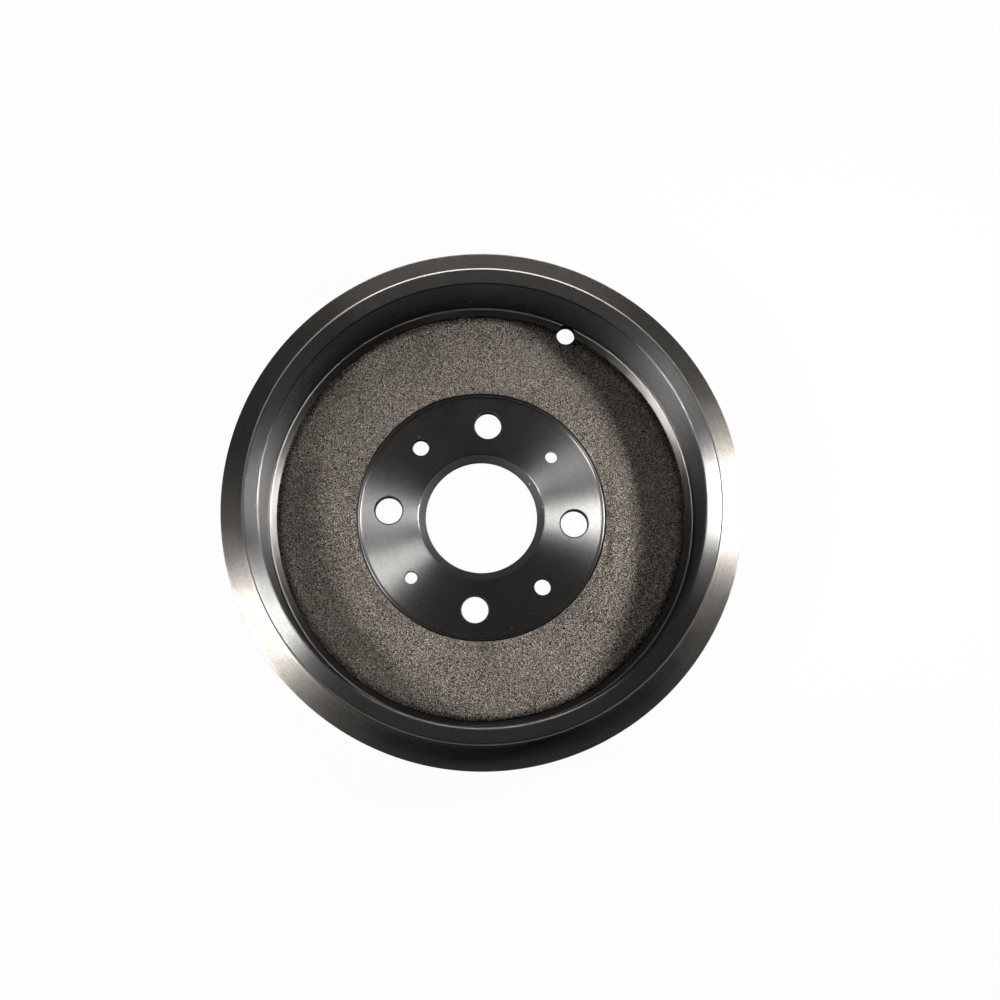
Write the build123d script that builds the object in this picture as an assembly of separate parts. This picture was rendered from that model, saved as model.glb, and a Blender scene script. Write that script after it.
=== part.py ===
from build123d import *
import os

os.makedirs("parts", exist_ok=True)

# Brake drum, one grey-iron casting, turned and drilled.
# Axis along Z, open mouth up, wheel face down on Z = 0. Millimetres.

# --- heights -------------------------------------------------------------
overall_height = 63.0        # wheel face to mouth land
friction_depth = 50.0        # mouth land to the end of the friction bore
flange_face_depth = 20.5     # mouth land to the front face of the outer flange
flange_thickness = 5.5
hub_thickness = 7.0          # wheel face to hub face, both turned
hub_recess_depth = 1.4       # turned hub face below the cast boss around it
relief_step_depth = 0.4      # narrow relief ring above the hub face
boss_step_depth = 0.5        # cast boss below the rest of the cast web
wheel_face_height = 1.5      # turned wheel face proud of the cast back

# --- radii and diameters --------------------------------------------------
friction_dia = 228.6         # nine inch friction bore
nose_dia = 246.0             # turned outside of the mouth
flange_dia = 272.0
shell_dia = 245.0            # cast outside between flange and back
shoulder_width = 1.4         # flat step at the end of the friction bore
runout_width = 4.0           # 45 degree turned cone between shoulder and web
boss_dia = 144.0             # cast boss round the hub, outer foot
boss_slope_width = 2.0
hub_recess_dia = 134.4       # outer edge of the turned hub recess
recess_wall_width = 0.9      # slope of the recess wall
relief_ring_width = 1.1
hub_step_width = 0.4
pilot_dia = 60.1
pilot_lead_width = 3.9       # lead-in cone of the pilot bore, across
pilot_lead_depth = 3.0       # and along the axis
pilot_back_chamfer = 0.8
wheel_face_dia = 138.0
wheel_face_slope = 1.5
back_corner_radius = 14.0
flange_root_radius = 2.0     # front of the flange to the nose
flange_back_radius = 4.0     # back of the flange to the shell
flange_edge_chamfer = 0.6
nose_chamfer = 0.8
mouth_chamfer = 0.6

# --- drilled holes --------------------------------------------------------
pitch_circle_dia = 100.0
bolt_count = 4
bolt_hole_dia = 14.5
bolt_hole_chamfer = 0.7
screw_hole_dia = 8.9         # plain holes for the retaining screws
screw_hole_angle = -45.0
jack_hole_dia = 6.75         # core size of the M8 jacking threads
jack_hole_angle = 45.0
small_hole_chamfer = 0.3
sight_hole_dia = 9.9         # looks through to the shoe adjuster
sight_circle_dia = 218.6
sight_hole_angle = 69.3

# --- turned and cast section ----------------------------------------------
friction_r = friction_dia / 2
nose_r = nose_dia / 2
flange_r = flange_dia / 2
shell_r = shell_dia / 2
pilot_r = pilot_dia / 2

z_flange_top = overall_height - flange_face_depth
z_flange_back = z_flange_top - flange_thickness
z_shoulder = overall_height - friction_depth
shoulder_r = friction_r - shoulder_width
web_r = shoulder_r - runout_width
z_web = z_shoulder - runout_width
z_boss = z_web - boss_step_depth
z_recess = z_boss - hub_recess_depth + relief_step_depth
z_hub = hub_thickness
recess_r = hub_recess_dia / 2
relief_r = recess_r - recess_wall_width
step_r = relief_r - relief_ring_width
hub_r = step_r - hub_step_width
lead_r = pilot_r + pilot_lead_width
face_r = wheel_face_dia / 2

section = [
    (pilot_r + pilot_back_chamfer, 0.0),
    (face_r, 0.0),
    (face_r + wheel_face_slope, wheel_face_height),
    (shell_r, wheel_face_height),
    (shell_r, z_flange_back),
    (flange_r, z_flange_back),
    (flange_r, z_flange_top),
    (nose_r, z_flange_top),
    (nose_r, overall_height - nose_chamfer),
    (nose_r - nose_chamfer, overall_height),
    (friction_r + mouth_chamfer, overall_height),
    (friction_r, overall_height - mouth_chamfer),
    (friction_r, z_shoulder),
    (shoulder_r, z_shoulder),
    (web_r, z_web),
    (boss_dia / 2, z_web),
    (boss_dia / 2 - boss_slope_width, z_boss),
    (recess_r, z_boss),
    (relief_r, z_recess),
    (step_r, z_recess),
    (hub_r, z_hub),
    (lead_r, z_hub),
    (pilot_r, z_hub - pilot_lead_depth),
    (pilot_r, pilot_back_chamfer),
]

with BuildPart() as drum:
    with BuildSketch(Plane.XZ):
        with BuildLine():
            Polyline(*section, close=True)
        make_face()
        corners = vertices()

        def at(r, z):
            return corners.filter_by(
                lambda v: abs(v.X - r) < 1e-4 and abs(v.Y - z) < 1e-4)

        fillet(at(shell_r, wheel_face_height), radius=back_corner_radius)
        fillet(at(shell_r, z_flange_back), radius=flange_back_radius)
        fillet(at(nose_r, z_flange_top), radius=flange_root_radius)
        chamfer(at(flange_r, z_flange_top) + at(flange_r, z_flange_back),
                length=flange_edge_chamfer)
    revolve(axis=Axis.Z)


def drill(hole_dia, edge):
    """Through hole from the wheel face, edges broken on both turned faces."""
    r = hole_dia / 2
    tool = Pos(0, 0, -1) * Cylinder(
        r, overall_height + 2, align=(Align.CENTER, Align.CENTER, Align.MIN))
    if edge > 0:
        low = (Align.CENTER, Align.CENTER, Align.MIN)
        tool += Cone(r + edge, r, edge, align=low)
        tool += Pos(0, 0, z_hub - edge) * Cone(r, r + edge, edge, align=low)
    return tool


pitch_r = pitch_circle_dia / 2
brake_drum = drum.part
brake_drum -= PolarLocations(pitch_r, bolt_count) * drill(bolt_hole_dia, bolt_hole_chamfer)
brake_drum -= (PolarLocations(pitch_r, 2, start_angle=screw_hole_angle)
               * drill(screw_hole_dia, small_hole_chamfer))
brake_drum -= (PolarLocations(pitch_r, 2, start_angle=jack_hole_angle)
               * drill(jack_hole_dia, small_hole_chamfer))
brake_drum -= (PolarLocations(sight_circle_dia / 2, 1, start_angle=sight_hole_angle)
               * drill(sight_hole_dia, 0.0))

assert len(brake_drum.solids()) == 1
assert brake_drum.is_valid
brake_drum = brake_drum.solids()[0]
brake_drum.label = "brake_drum"
export_step(brake_drum, "parts/brake_drum.step")
print("volume cm3", round(brake_drum.volume / 1000, 1), brake_drum.bounding_box().size)
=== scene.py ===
import bpy, bmesh
from math import pi, cos, sin, radians, hypot
from mathutils import Vector, Matrix, noise as uneven


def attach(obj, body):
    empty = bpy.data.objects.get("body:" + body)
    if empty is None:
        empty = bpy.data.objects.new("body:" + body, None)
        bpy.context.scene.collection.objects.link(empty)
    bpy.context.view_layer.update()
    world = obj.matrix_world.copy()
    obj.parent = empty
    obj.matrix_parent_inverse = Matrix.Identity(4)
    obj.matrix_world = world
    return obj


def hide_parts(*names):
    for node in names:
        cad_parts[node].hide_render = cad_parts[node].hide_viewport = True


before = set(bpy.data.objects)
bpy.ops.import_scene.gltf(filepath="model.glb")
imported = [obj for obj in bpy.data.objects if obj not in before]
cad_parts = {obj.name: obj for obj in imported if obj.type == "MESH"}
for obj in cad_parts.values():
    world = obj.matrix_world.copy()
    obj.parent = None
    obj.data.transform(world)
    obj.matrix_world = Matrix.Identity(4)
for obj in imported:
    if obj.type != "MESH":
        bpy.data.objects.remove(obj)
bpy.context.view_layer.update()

MM = 0.001

# ---------------------------------------------------------------- drum sizes
HEIGHT = 63.0
FRICTION_R = 114.3
NOSE_R = 123.0
FLANGE_R = 136.0
SHELL_R = 122.5
FLANGE_TOP = 42.5
FLANGE_BACK = 37.0
SHOULDER_Z = 13.0
SHOULDER_R = 112.9
WEB_R = 108.9
WEB_Z = 9.0
BOSS_R = 72.0
BOSS_Z = 8.5
RECESS_R = 67.2
RELIEF_R = 66.3
GROOVE_R = 65.75
RELIEF_Z = 7.5
STEP_R = 65.2
HUB_R = 64.8
HUB_Z = 7.0
LEAD_R = 33.95
PILOT_R = 30.05
FACE_R = 69.0
BACK_Z = 1.5
LAND_CHAMFER = 0.8
BORE_CHAMFER = 0.6
PILOT_CHAMFER = 0.8
LEAD_DEPTH = 3.0
NOSE_FILLET = 2.0
SHELL_CORNER = 14.0
FLANGE_FILLET = 4.0
FLANGE_EDGE = 0.6
PITCH_R = 50.0
BOLT_R = 7.25
SCREW_R = 4.45
JACK_R = 3.375
JACK_PITCH = 1.25
SIGHT_R = 4.95
SIGHT_AT_R = 109.3
SIGHT_ANGLE = 69.3

TURNED, WALL, CAST, BAND, SHADED_HOLE, THREAD, RUNOUT, LEAD, EDGE, SHADED_ROOT = range(10)


# ------------------------------------------------------------- node helpers
def wire(tree, a, b):
    tree.links.new(a, b)


def add(tree, kind, **props):
    node = tree.nodes.new(kind)
    for name, value in props.items():
        setattr(node, name, value)
    return node


def calc(tree, op, a, b=None, clamp=False):
    node = add(tree, "ShaderNodeMath", operation=op, use_clamp=clamp)
    for i, value in enumerate((a, b)):
        if value is None:
            continue
        if isinstance(value, (int, float)):
            node.inputs[i].default_value = value
        else:
            wire(tree, value, node.inputs[i])
    return node.outputs[0]


def spread(tree, value, low, high, to_low=0.0, to_high=1.0):
    node = add(tree, "ShaderNodeMapRange", clamp=True)
    wire(tree, value, node.inputs["Value"])
    node.inputs["From Min"].default_value = low
    node.inputs["From Max"].default_value = high
    node.inputs["To Min"].default_value = to_low
    node.inputs["To Max"].default_value = to_high
    return node.outputs["Result"]


def noise(tree, vector, scale, detail=3.0, rough=0.6):
    node = add(tree, "ShaderNodeTexNoise")
    wire(tree, vector, node.inputs["Vector"])
    node.inputs["Scale"].default_value = scale
    node.inputs["Detail"].default_value = detail
    node.inputs["Roughness"].default_value = rough
    return node.outputs["Fac"]


def blend_colour(tree, fac, a, b):
    node = add(tree, "ShaderNodeMix", data_type="RGBA")
    wire(tree, fac, node.inputs[0])
    for socket, value in ((node.inputs[6], a), (node.inputs[7], b)):
        if isinstance(value, tuple):
            socket.default_value = value
        else:
            wire(tree, value, socket)
    return node.outputs[2]


# ------------------------------------------------------------ shared effects
def turning_marks_group():
    """Fine rings left by the lathe tool, with soft stains and small nicks."""
    g = bpy.data.node_groups.new("turning marks", "ShaderNodeTree")
    g.interface.new_socket("Ring Scale", in_out="INPUT", socket_type="NodeSocketFloat")
    g.interface.new_socket("Along Z", in_out="INPUT", socket_type="NodeSocketFloat")
    g.interface.new_socket("Rings", in_out="OUTPUT", socket_type="NodeSocketFloat")
    g.interface.new_socket("Stains", in_out="OUTPUT", socket_type="NodeSocketFloat")
    g.interface.new_socket("Nicks", in_out="OUTPUT", socket_type="NodeSocketFloat")
    inp, out = add(g, "NodeGroupInput"), add(g, "NodeGroupOutput")
    place = add(g, "ShaderNodeTexCoord").outputs["Object"]
    xyz = add(g, "ShaderNodeSeparateXYZ")
    wire(g, place, xyz.inputs[0])
    r2 = calc(g, "ADD", calc(g, "MULTIPLY", xyz.outputs[0], xyz.outputs[0]),
              calc(g, "MULTIPLY", xyz.outputs[1], xyz.outputs[1]))
    r = calc(g, "SQRT", r2)
    along = calc(g, "ADD", r, calc(g, "MULTIPLY", xyz.outputs[2], inp.outputs["Along Z"]))
    turn = calc(g, "ARCTAN2", xyz.outputs[1], xyz.outputs[0])
    ring_place = add(g, "ShaderNodeCombineXYZ")
    wire(g, calc(g, "MULTIPLY", along, inp.outputs["Ring Scale"]), ring_place.inputs[0])
    wire(g, calc(g, "MULTIPLY", calc(g, "COSINE", turn), 0.35), ring_place.inputs[1])
    wire(g, calc(g, "MULTIPLY", calc(g, "SINE", turn), 0.35), ring_place.inputs[2])
    wire(g, noise(g, ring_place.outputs[0], 1.0, 4.0, 0.75), out.inputs["Rings"])
    wire(g, spread(g, noise(g, place, 42.0, 5.0, 0.62), 0.36, 0.66), out.inputs["Stains"])
    wire(g, spread(g, noise(g, place, 330.0, 1.0, 0.5), 0.79, 0.84), out.inputs["Nicks"])
    return g


def sand_grain_group():
    """The pitted, gritty skin that a sand mould leaves on iron; its light specks are partly the
    iron's own grains and partly painted glints.
    """
    g = bpy.data.node_groups.new("sand grain", "ShaderNodeTree")
    g.interface.new_socket("Grain Scale", in_out="INPUT", socket_type="NodeSocketFloat")
    g.interface.new_socket("Grit", in_out="OUTPUT", socket_type="NodeSocketFloat")
    g.interface.new_socket("Specks And Glints", in_out="OUTPUT", socket_type="NodeSocketFloat")
    g.interface.new_socket("Patches", in_out="OUTPUT", socket_type="NodeSocketFloat")
    inp, out = add(g, "NodeGroupInput"), add(g, "NodeGroupOutput")
    place = add(g, "ShaderNodeTexCoord").outputs["Object"]
    scaled = add(g, "ShaderNodeVectorMath", operation="SCALE")
    wire(g, place, scaled.inputs[0])
    wire(g, inp.outputs["Grain Scale"], scaled.inputs["Scale"])
    v = scaled.outputs[0]
    fine = noise(g, v, 1.0, 3.0, 0.7)
    coarse = noise(g, v, 0.38, 2.0, 0.5)
    wire(g, calc(g, "ADD", calc(g, "MULTIPLY", fine, 0.8), calc(g, "MULTIPLY", coarse, 0.2)),
         out.inputs["Grit"])
    wire(g, spread(g, noise(g, v, 1.25, 2.0, 0.6), 0.55, 0.70), out.inputs["Specks And Glints"])
    wire(g, spread(g, noise(g, place, 26.0, 4.0, 0.6), 0.36, 0.66), out.inputs["Patches"])
    return g


def radial_tangent(tree):
    """Lathe rings stretch a highlight across themselves, out from the axis."""
    node = add(tree, "ShaderNodeTangent", direction_type="RADIAL", axis="Z")
    return node.outputs[0]


def new_finish(name):
    m = bpy.data.materials.new(name)
    m.use_nodes = True
    tree = m.node_tree
    tree.nodes.clear()
    out = add(tree, "ShaderNodeOutputMaterial")
    bsdf = add(tree, "ShaderNodeBsdfPrincipled")
    wire(tree, bsdf.outputs[0], out.inputs["Surface"])
    return m, tree, bsdf


def use_group(tree, group, **values):
    node = add(tree, "ShaderNodeGroup", node_tree=group)
    for name, value in values.items():
        node.inputs[name.replace("_", " ")].default_value = value
    return node


def bumped(tree, bsdf, height, strength, distance):
    node = add(tree, "ShaderNodeBump")
    node.inputs["Strength"].default_value = strength
    node.inputs["Distance"].default_value = distance
    wire(tree, height, node.inputs["Height"])
    wire(tree, node.outputs[0], bsdf.inputs["Normal"])


def grey(v, warm=0.0):
    return (v * (1 + warm), v, v * (1 - warm), 1.0)


def turned_finish(name, marks, dark, light, rough, streak, ring_scale, along, bump, gritty=0.0,
                  grazing=(1, 1, 1, 1)):
    m, tree, bsdf = new_finish(name)
    g = use_group(tree, marks, Ring_Scale=ring_scale, Along_Z=along)
    colour = blend_colour(tree, g.outputs["Rings"], dark, light)
    colour = blend_colour(tree, calc(tree, "MULTIPLY", g.outputs["Stains"], 0.5), colour, dark)
    colour = blend_colour(tree, g.outputs["Nicks"], colour, grey(0.75))
    if gritty:
        sand = use_group(tree, grain, Grain_Scale=1250.0)
        colour = blend_colour(tree, calc(tree, "MULTIPLY", sand.outputs["Specks And Glints"], gritty),
                              colour, grey(0.62, 0.03))
        pits = spread(tree, sand.outputs["Grit"], 0.50, 0.38, 0.0, gritty)
        colour = blend_colour(tree, pits, colour, grey(0.03))
    wire(tree, colour, bsdf.inputs["Base Color"])
    wire(tree, spread(tree, g.outputs["Stains"], 0.0, 1.0, rough * 0.9, rough * 1.15),
         bsdf.inputs["Roughness"])
    bsdf.inputs["Metallic"].default_value = 1.0
    bsdf.inputs["Specular Tint"].default_value = grazing
    bsdf.inputs["Anisotropic"].default_value = streak
    bsdf.inputs["Anisotropic Rotation"].default_value = 0.25
    wire(tree, radial_tangent(tree), bsdf.inputs["Tangent"])
    bumped(tree, bsdf, g.outputs["Rings"], bump, 0.00005)
    return m


def cast_finish(name, grain, dark, light, speck_and_glint, rough, scale, bump):
    m, tree, bsdf = new_finish(name)
    g = use_group(tree, grain, Grain_Scale=scale)
    colour = blend_colour(tree, spread(tree, g.outputs["Grit"], 0.45, 0.58), dark, light)
    colour = blend_colour(tree, calc(tree, "MULTIPLY", g.outputs["Patches"], 0.35), colour, dark)
    # Light specks: partly the iron's own grains, partly painted glints.
    colour = blend_colour(tree, calc(tree, "MULTIPLY", g.outputs["Specks And Glints"], 0.75), colour, speck_and_glint)
    # Painted shade: the web darkens in a narrow ring at its rim, in the corner under the run-out
    # cone, inside the drum only; part of it is the rough cast edge's own darkness.
    rim = add(tree, "ShaderNodeSeparateXYZ")
    wire(tree, add(tree, "ShaderNodeTexCoord").outputs["Object"], rim.inputs[0])
    r = calc(tree, "SQRT", calc(tree, "ADD", calc(tree, "MULTIPLY", rim.outputs[0], rim.outputs[0]),
                                calc(tree, "MULTIPLY", rim.outputs[1], rim.outputs[1])))
    rim_shade = calc(tree, "MULTIPLY", spread(tree, r, 0.1052, 0.1082), spread(tree, r, 0.1105, 0.1095))
    rim_shade = calc(tree, "MULTIPLY", rim_shade, calc(tree, "GREATER_THAN", rim.outputs[2], 0.006))
    rim_shade_by_grit = spread(tree, g.outputs["Grit"], 0.60, 0.50, 0.3, 0.95)
    colour = blend_colour(tree, calc(tree, "MULTIPLY", rim_shade, rim_shade_by_grit), colour, dark)
    wire(tree, colour, bsdf.inputs["Base Color"])
    wire(tree, spread(tree, g.outputs["Grit"], 0.3, 0.7, rough * 0.9, rough * 1.1),
         bsdf.inputs["Roughness"])
    bsdf.inputs["Metallic"].default_value = 1.0
    bumped(tree, bsdf, g.outputs["Grit"], bump, 0.0004)
    return m


marks = turning_marks_group()
grain = sand_grain_group()

turned = turned_finish("turned iron face", marks, grey(0.17), grey(0.38), 0.33, 0.95,
                       2600.0, 0.0, 0.6, gritty=0.2)
wall = turned_finish("ground friction wall", marks, (0.10, 0.104, 0.118, 1), (0.33, 0.315, 0.29, 1),
                     0.34, 1.0, 1800.0, 1.0, 0.4, grazing=(0.05, 0.055, 0.075, 1))
cast = cast_finish("sand cast iron", grain, grey(0.003, 0.05), grey(0.185, 0.12),
                   grey(0.80, 0.10), 0.32, 1750.0, 1.0)
band = turned_finish("satin flange face", marks, grey(0.29, 0.06), grey(0.54, 0.06), 0.40, 0.92,
                     1500.0, 0.0, 0.5, gritty=0.30)
# Near-black hole walls: painted shade inside the drilled holes and the pilot bore.
drilled = turned_finish("drilled iron with painted shade", marks, grey(0.012), grey(0.03), 0.45, 0.4,
                        3000.0, 1.0, 0.4, grazing=grey(0.10))
runout = turned_finish("turned run-out cone", marks, grey(0.22, 0.02), grey(0.42, 0.03), 0.31, 0.97,
                       2200.0, 0.0, 0.4)
lead = turned_finish("pilot lead-in", marks, (0.075, 0.072, 0.086, 1), (0.13, 0.127, 0.142, 1),
                     0.52, 0.4, 2600.0, 0.0, 0.4)
edge = turned_finish("burnished edge", marks, grey(0.26, 0.04), grey(0.40, 0.04), 0.34, 0.0,
                     2600.0, 0.0, 0.1)
# Near-black turned finish: painted shade on the nose wall, its fillet and the hub recess walls.
root = turned_finish("turned root with painted shade", marks, (0.03, 0.031, 0.036, 1), (0.07, 0.071, 0.077, 1),
                     0.45, 0.6, 1400.0, 1.0, 0.6)

thread_cut, tree, bsdf = new_finish("cut thread")
bsdf.inputs["Base Color"].default_value = grey(0.22)
bsdf.inputs["Metallic"].default_value = 1.0
bsdf.inputs["Roughness"].default_value = 0.35
wave = add(tree, "ShaderNodeTexWave", wave_type="BANDS", bands_direction="Z")
wire(tree, add(tree, "ShaderNodeTexCoord").outputs["Object"], wave.inputs["Vector"])
# A wave of scale 1 repeats every 2 pi / 20 metres.
wave.inputs["Scale"].default_value = 2 * pi / 20 / (JACK_PITCH * MM)
bumped(tree, bsdf, wave.outputs["Fac"], 1.0, 0.0006)

# ------------------------------------------------------------- drum casting
STEPS = 360


def spun(points, steps=STEPS):
    """Turns a closed outline of (radius, height) in millimetres about Z."""
    bm = bmesh.new()
    row = [bm.verts.new((r * MM, 0.0, z * MM)) for r, z in points]
    edges = [bm.edges.new((row[i], row[(i + 1) % len(row)])) for i in range(len(row))]
    bmesh.ops.spin(bm, geom=row + edges, cent=(0, 0, 0), axis=(0, 0, 1), dvec=(0, 0, 0),
                   angle=2 * pi, steps=steps, use_merge=True, use_duplicate=False)
    bmesh.ops.remove_doubles(bm, verts=bm.verts, dist=1e-7)
    bmesh.ops.recalc_face_normals(bm, faces=bm.faces)
    return bm


def ring_edges(bm, r, z):
    def on(v):
        return abs(hypot(v.co.x, v.co.y) - r * MM) < 2e-6 and abs(v.co.z - z * MM) < 2e-6
    return [e for e in bm.edges if on(e.verts[0]) and on(e.verts[1])]


def round_ring(bm, r, z, size, segments):
    bmesh.ops.bevel(bm, geom=ring_edges(bm, r, z), offset=size * MM, offset_type="OFFSET",
                    affect="EDGES", segments=segments, profile=0.5, material=-1,
                    clamp_overlap=True)


# The points HOLD away from a corner keep its smooth shading off the flat faces.
HOLD = 0.8
outline = [
    (PILOT_R + PILOT_CHAMFER, 0.0), (FACE_R, 0.0), (FACE_R + BACK_Z, BACK_Z), (SHELL_R, BACK_Z),
    (SHELL_R, FLANGE_BACK), (FLANGE_R, FLANGE_BACK), (FLANGE_R, FLANGE_TOP),
    (FLANGE_R - HOLD, FLANGE_TOP), (NOSE_R + NOSE_FILLET + HOLD, FLANGE_TOP),
    (NOSE_R, FLANGE_TOP), (NOSE_R, HEIGHT - LAND_CHAMFER), (NOSE_R - LAND_CHAMFER, HEIGHT),
    (NOSE_R - LAND_CHAMFER - HOLD, HEIGHT), (FRICTION_R + BORE_CHAMFER + HOLD, HEIGHT),
    (FRICTION_R + BORE_CHAMFER, HEIGHT), (FRICTION_R, HEIGHT - BORE_CHAMFER),
    (FRICTION_R, HEIGHT - LAND_CHAMFER - HOLD), (FRICTION_R, SHOULDER_Z + HOLD),
    (FRICTION_R, SHOULDER_Z), (SHOULDER_R, SHOULDER_Z),
    (SHOULDER_R - HOLD, SHOULDER_Z - HOLD), (WEB_R + 0.8, WEB_Z + 0.8), (WEB_R, WEB_Z),
    (WEB_R - 1.2, WEB_Z), (BOSS_R, WEB_Z), (BOSS_R - 2.0, BOSS_Z),
    (RECESS_R, BOSS_Z), (RELIEF_R, RELIEF_Z), (GROOVE_R, RELIEF_Z), (STEP_R, RELIEF_Z),
    (HUB_R, HUB_Z), (HUB_R - HOLD, HUB_Z), (LEAD_R + HOLD, HUB_Z),
    (LEAD_R, HUB_Z), (PILOT_R, HUB_Z - LEAD_DEPTH), (PILOT_R, PILOT_CHAMFER)]
bm = spun(outline)
round_ring(bm, SHELL_R, BACK_Z, SHELL_CORNER, 8)
round_ring(bm, SHELL_R, FLANGE_BACK, FLANGE_FILLET, 5)
round_ring(bm, NOSE_R, FLANGE_TOP, NOSE_FILLET, 5)
round_ring(bm, FLANGE_R, FLANGE_TOP, FLANGE_EDGE, 2)
round_ring(bm, FLANGE_R, FLANGE_BACK, FLANGE_EDGE, 2)
round_ring(bm, FACE_R, 0.0, 0.3, 2)
round_ring(bm, NOSE_R - LAND_CHAMFER, HEIGHT, 0.2, 2)
round_ring(bm, FRICTION_R + BORE_CHAMFER, HEIGHT, 0.15, 2)
round_ring(bm, SHOULDER_R, SHOULDER_Z, 0.35, 3)
round_ring(bm, BOSS_R, WEB_Z, 0.3, 2)
round_ring(bm, BOSS_R - 2.0, BOSS_Z, 0.3, 2)
round_ring(bm, STEP_R, RELIEF_Z, 0.12, 2)
round_ring(bm, HUB_R, HUB_Z, 0.12, 2)
round_ring(bm, LEAD_R, HUB_Z, 0.25, 2)


def zone(face):
    """Which finish a face of the casting gets, from its place and tilt."""
    c = face.calc_center_median()
    r, z, up = hypot(c.x, c.y) / MM, c.z / MM, face.normal.z
    if z < 0.01 and r < FACE_R:
        return TURNED
    if z > HEIGHT - 0.9 and r > NOSE_R - 0.85:
        return EDGE
    if z > HEIGHT - 0.9 and r < FRICTION_R + 0.65:
        return WALL
    # The nose wall and the steep part of its fillet get the painted shade.
    if z > FLANGE_TOP + 0.02 and r > NOSE_R - 0.1:
        return BAND if up > 0.6 else SHADED_ROOT
    if WEB_R + 0.4 < r < SHOULDER_R + 0.3 and WEB_Z < z < SHOULDER_Z + 0.1:
        return EDGE if r > SHOULDER_R - 0.22 else RUNOUT
    if r > WEB_R + 0.4 and r < FRICTION_R + 0.3 and z > BACK_Z + 2:
        return WALL
    # The recess wall outside the hub and a narrow ring inside the relief get the painted shade.
    if RELIEF_R < r < RECESS_R + 0.1 and z > 3 or STEP_R + 0.1 < r < GROOVE_R and z > 3:
        return SHADED_ROOT
    if HUB_R - 0.2 < r < RELIEF_R and z > 3:
        return RUNOUT
    if r < RECESS_R + 0.1 and z > 3 and r > LEAD_R - 0.2:
        return TURNED
    if r <= LEAD_R - 0.2:
        return LEAD if z > 3.5 else SHADED_HOLE
    if z > FLANGE_TOP - 1.2 and r > NOSE_R - 0.1:
        return BAND
    if z > FLANGE_TOP and r > FRICTION_R:
        return TURNED
    return CAST


bm.normal_update()
for f in bm.faces:
    f.material_index = zone(f)
for v in bm.verts:
    r = hypot(v.co.x, v.co.y)
    if abs(r - WEB_R * MM) < 0.0001 and abs(v.co.z / MM - WEB_Z) < 0.1:
        # The cast edge at the web's rim is slightly uneven.
        ragged = uneven.noise(v.co * 900) * 0.45 + uneven.noise(v.co * 260) * 0.35
        v.co.xy *= 1 + ragged * MM / r
for f in bm.faces:
    f.smooth = True
drum_mesh = bpy.data.meshes.new("drum casting")
bm.to_mesh(drum_mesh)
bm.free()
drum = bpy.data.objects.new("drum_casting", drum_mesh)
bpy.context.collection.objects.link(drum)
for m in (turned, wall, cast, band, drilled, thread_cut, runout, lead, edge, root):
    drum_mesh.materials.append(m)


# --------------------------------------------------------------- drilled holes
def drill_bit(r, edge, top, at_r, angle, slot):
    """A cutter r wide whose two ends leave a chamfer on the hole's edges."""
    points = [(0.0, -1.0), (r + edge + 1, -1.0), (r, edge), (r, top - edge),
              (r + edge + 1, top + 1), (0.0, top + 1)]
    if edge == 0:
        points = [(0.0, -1.0), (r, -1.0), (r, top), (0.0, top)]
    bit = spun(points, 72)
    bmesh.ops.translate(bit, verts=bit.verts, vec=(at_r * cos(radians(angle)) * MM,
                                                   at_r * sin(radians(angle)) * MM, 0))
    bit.normal_update()
    for f in bit.faces:
        f.material_index = EDGE if 0.2 < abs(f.normal.z) < 0.98 else slot
        f.smooth = True
    return bit


holes = [(BOLT_R, 0.7, HUB_Z, PITCH_R, 90.0 * k, SHADED_HOLE) for k in range(4)]
holes += [(SCREW_R, 0.3, HUB_Z, PITCH_R, a, SHADED_HOLE) for a in (-45.0, 135.0)]
holes += [(JACK_R, 0.3, HUB_Z, PITCH_R, a, THREAD) for a in (45.0, 225.0)]
holes += [(SIGHT_R, 0.0, 30.0, SIGHT_AT_R, SIGHT_ANGLE, SHADED_HOLE)]
bits = bpy.data.meshes.new("drill bits")
all_bits = bmesh.new()
for hole in holes:
    one = drill_bit(*hole)
    one.to_mesh(bits)
    one.free()
    all_bits.from_mesh(bits)
all_bits.to_mesh(bits)
all_bits.free()
bits_obj = bpy.data.objects.new("drill_bits", bits)
bpy.context.collection.objects.link(bits_obj)
cut = drum.modifiers.new("holes", "BOOLEAN")
cut.operation = "DIFFERENCE"
cut.solver = "EXACT"
cut.material_mode = "INDEX"
cut.object = bits_obj
bpy.context.view_layer.update()
graph = bpy.context.evaluated_depsgraph_get()
cut_mesh = bpy.data.meshes.new_from_object(drum.evaluated_get(graph))
drum.modifiers.clear()
drum.data = cut_mesh
cut_mesh.name = "drum casting cut"
bpy.data.objects.remove(bits_obj)
bpy.data.meshes.remove(bits)
bpy.data.meshes.remove(drum_mesh)
cut_mesh.set_sharp_from_angle(angle=radians(24))

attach(drum, "root")
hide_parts("brake_drum")

# -------------------------------------------------------------- floor and light
bm = bmesh.new()
bmesh.ops.create_grid(bm, x_segments=1, y_segments=1, size=3.0)
bmesh.ops.translate(bm, verts=bm.verts, vec=(0, 0, -0.0002))
floor_mesh = bpy.data.meshes.new("floor")
bm.to_mesh(floor_mesh)
bm.free()
floor = bpy.data.objects.new("floor", floor_mesh)
bpy.context.collection.objects.link(floor)

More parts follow.
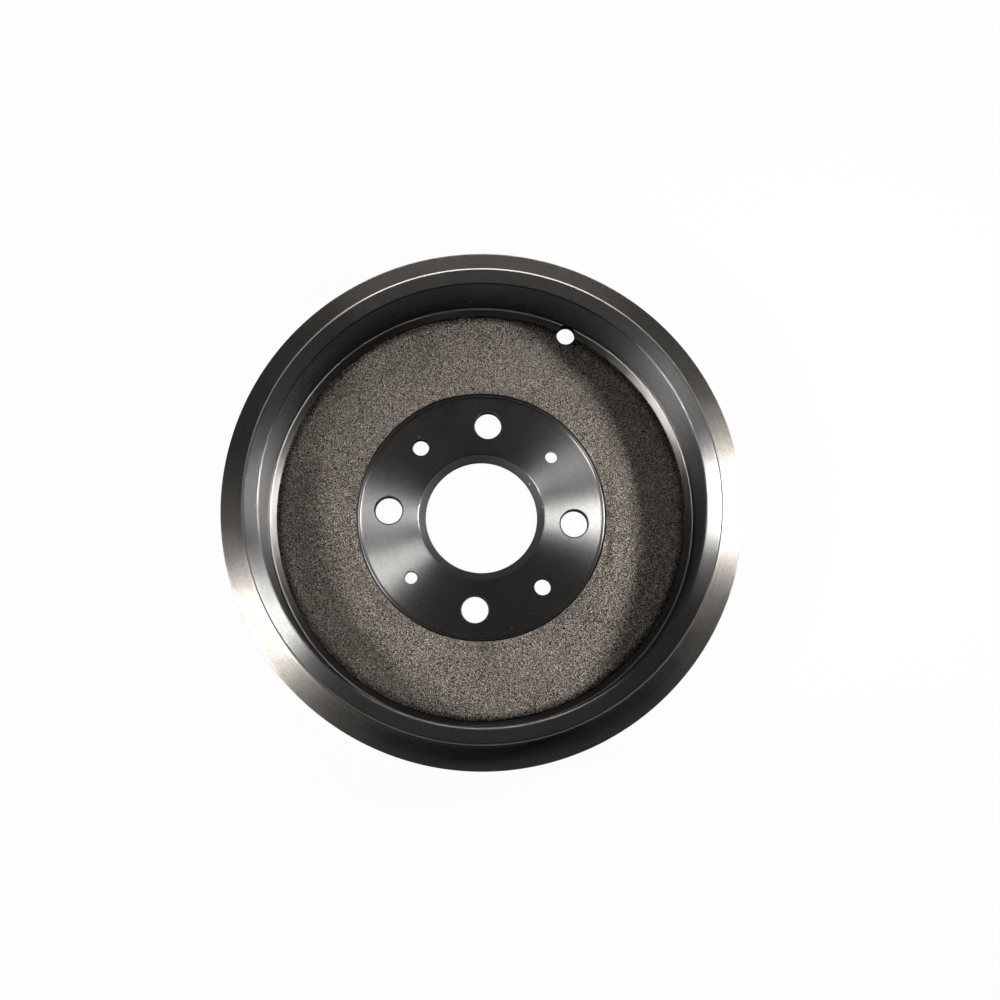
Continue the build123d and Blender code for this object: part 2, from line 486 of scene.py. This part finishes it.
paper = bpy.data.materials.new("pale paper")
paper.use_nodes = True
tree = paper.node_tree
tree.nodes.clear()
out = add(tree, "ShaderNodeOutputMaterial")
rays = add(tree, "ShaderNodeLightPath")
seen = calc(tree, "ADD", rays.outputs["Is Camera Ray"], rays.outputs["Is Glossy Ray"])
seen = calc(tree, "ADD", seen, rays.outputs["Is Transmission Ray"], clamp=True)
glow = add(tree, "ShaderNodeEmission")
glow.inputs["Color"].default_value = (1, 1, 1, 1)
matt = add(tree, "ShaderNodeBsdfDiffuse")
matt.inputs["Color"].default_value = (0.85, 0.85, 0.85, 1)
mixer = add(tree, "ShaderNodeMixShader")
wire(tree, calc(tree, "MULTIPLY", seen, 0.96), mixer.inputs[0])
wire(tree, matt.outputs[0], mixer.inputs[1])
wire(tree, glow.outputs[0], mixer.inputs[2])
wire(tree, mixer.outputs[0], out.inputs["Surface"])
floor_mesh.materials.append(paper)

scene = bpy.context.scene
scene.view_settings.view_transform = "Standard"
world = bpy.data.worlds.new("studio")
scene.world = world
world.use_nodes = True
tree = world.node_tree
tree.nodes.clear()
out = add(tree, "ShaderNodeOutputWorld")
rays = add(tree, "ShaderNodeLightPath")
# Only the camera sees the white world; reflections meet a dim one.
dim = add(tree, "ShaderNodeBackground")
dim.inputs["Color"].default_value = (0.014, 0.014, 0.015, 1)
white = add(tree, "ShaderNodeBackground")
white.inputs["Color"].default_value = (1, 1, 1, 1)
pick = add(tree, "ShaderNodeMixShader")
wire(tree, rays.outputs["Is Camera Ray"], pick.inputs[0])
wire(tree, dim.outputs[0], pick.inputs[1])
wire(tree, white.outputs[0], pick.inputs[2])
wire(tree, pick.outputs[0], out.inputs["Surface"])


AIM_Z = 0.03
STRIP_TINT = (1.0, 0.98, 0.95)
PANEL_TINT = (1.0, 0.96, 0.92)


def softbox(name, angle, tilt, distance, width, length, power, tint):
    """A rectangular lamp aimed at the drum, tilt degrees off straight up."""
    light = bpy.data.lights.new(name, "AREA")
    light.shape = "RECTANGLE"
    light.size, light.size_y = width, length
    light.energy = power
    light.color = tint
    lamp = bpy.data.objects.new(name, light)
    bpy.context.collection.objects.link(lamp)
    lamp.visible_camera = False
    a, t = radians(angle), radians(tilt)
    toward = Vector((sin(t) * cos(a), sin(t) * sin(a), cos(t)))
    side = Vector((-sin(a), cos(a), 0))
    rows = Matrix((side, toward.cross(side), toward)).transposed()
    place = Vector((0, 0, AIM_Z)) + toward * distance
    lamp.matrix_world = Matrix.Translation(place) @ rows.to_4x4()


softbox("right strip", 14.5, 40.5, 0.5, 0.092, 0.06, 1.9, STRIP_TINT)
softbox("left strip", -156.0, 39.5, 0.5, 0.11, 0.06, 1.45, STRIP_TINT)
softbox("top fill", 94.0, 22.0, 1.8, 1.2, 0.45, 0.6, PANEL_TINT)
softbox("back panel", 94.0, 83.0, 1.1, 1.2, 0.25, 9.5, PANEL_TINT)

camera_data = bpy.data.cameras.new("camera")
camera_data.sensor_width = 36.0
camera_data.lens = 72.5
camera = bpy.data.objects.new("camera", camera_data)
bpy.context.collection.objects.link(camera)
right = Vector((0.997406, 0.068871, 0.020942))
up = Vector((-0.071098, 0.988031, 0.136896))
back = right.cross(up)
camera.matrix_world = (Matrix.Translation(Vector((-0.00295, -0.13983, 1.08098)))
                       @ Matrix((right, up, back)).transposed().to_4x4())
scene.camera = camera
